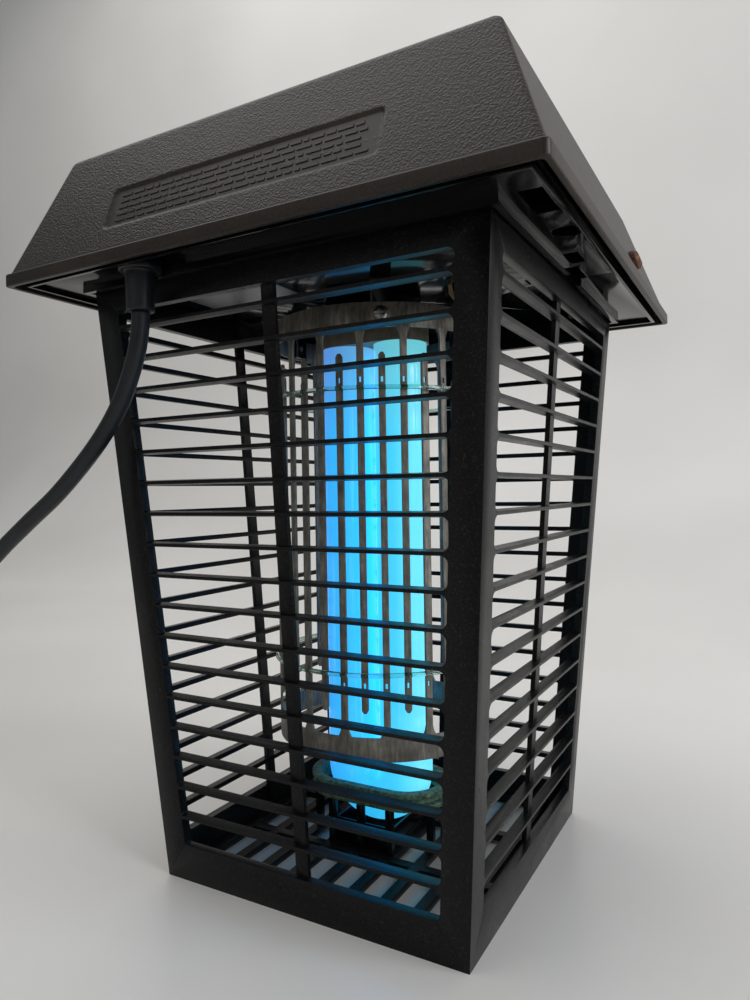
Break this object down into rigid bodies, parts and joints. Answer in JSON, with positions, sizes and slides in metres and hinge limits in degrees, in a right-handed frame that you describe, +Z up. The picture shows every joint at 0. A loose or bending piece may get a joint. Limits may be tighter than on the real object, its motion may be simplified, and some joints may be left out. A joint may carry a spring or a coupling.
{
  "type": "electric bug zapper",
  "caption": "Lantern-shaped electric insect killer: flared slatted cage, hipped roof, U lamp inside two interleaved high-voltage combs, fold-flat wire hanger and a short lead.",
  "frame": {"origin": "centre of the square base on the table", "axes": "+Z up; -Y the face with the sunk panel and the lead; +X the face whose roof slope has the screw"},
  "size_m": [0.4197, 0.3315, 0.3324],
  "materials": {
    "guard_plastic": "fine-textured black moulding",
    "hood_plastic": "leather-grained black moulding",
    "pan_plastic": "glossy black moulding",
    "insulator_plastic": "black insulating moulding",
    "cap_plastic": "taupe moulded lamp cap",
    "lamp_glass": "glowing ultraviolet lamp glass",
    "comb_steel": "dull weathered galvanised sheet",
    "ring_metal": "galvanised hoop with green corrosion",
    "hoop_plastic": "clear insulating plastic",
    "rusty_steel": "rusted screws",
    "bright_steel": "zinc-plated steel",
    "brass": "brass pins and blades",
    "core_steel": "varnished laminations",
    "coil_tape": "taped winding",
    "cord_rubber": "black rubber lead",
    "red_wire": "red insulation",
    "beige_wire": "beige insulation",
    "plate_foil": "blank foil plate",
    "starter_metal": "drawn can",
    "socket_plastic": "white moulding",
    "nut_plastic": "orange wire nuts"
  },
  "bodies": {
    "guard": {"front_guard": "guard_plastic", "right_guard": "guard_plastic", "rear_guard": "guard_plastic", "left_guard": "guard_plastic", "base_grille": "guard_plastic", "lamp_cradle": "insulator_plastic", "ring_posts": "insulator_plastic", "lamp_ring": "ring_metal", "locating_tabs": "guard_plastic"},
    "head": {"hood": "hood_plastic", "ceiling_pan": "pan_plastic", "hood_screws": "rusty_steel", "rating_plate": "plate_foil", "lamp_socket": "insulator_plastic", "lamp_cap": "cap_plastic", "lamp_tubes": "lamp_glass", "lamp_pins": "brass", "upper_comb": "comb_steel", "lower_comb": "comb_steel", "upper_hoop": "hoop_plastic", "lower_hoop": "hoop_plastic", "comb_brackets": "insulator_plastic", "comb_screws": "bright_steel", "red_lead": "red_wire", "beige_lead": "beige_wire", "transformer_core": "core_steel", "transformer_coil": "coil_tape", "transformer_screws": "bright_steel", "ballast_core": "core_steel", "ballast_coil": "coil_tape", "ballast_screws": "bright_steel", "starter_socket": "socket_plastic", "starter_can": "starter_metal", "wire_nuts": "nut_plastic", "hanger_saddles": "bright_steel", "saddle_rivets": "bright_steel", "cord_gland": "cord_rubber", "power_cord": "cord_rubber", "plug_body": "cord_rubber", "plug_blades": "brass"},
    "hanger": {"hanger_bail": "bright_steel"}
  },
  "joints": [
    {"name": "head_lift", "type": "slide", "parent": "guard", "child": "head", "axis": [0, 0, 1], "range_m": [0, 0.265]},
    {"name": "hanger_fold", "type": "hinge", "parent": "head", "child": "hanger", "pos_m": [0, 0, 0.3288], "axis": [-1, 0, 0], "range_deg": [0, 180]}
  ]
}
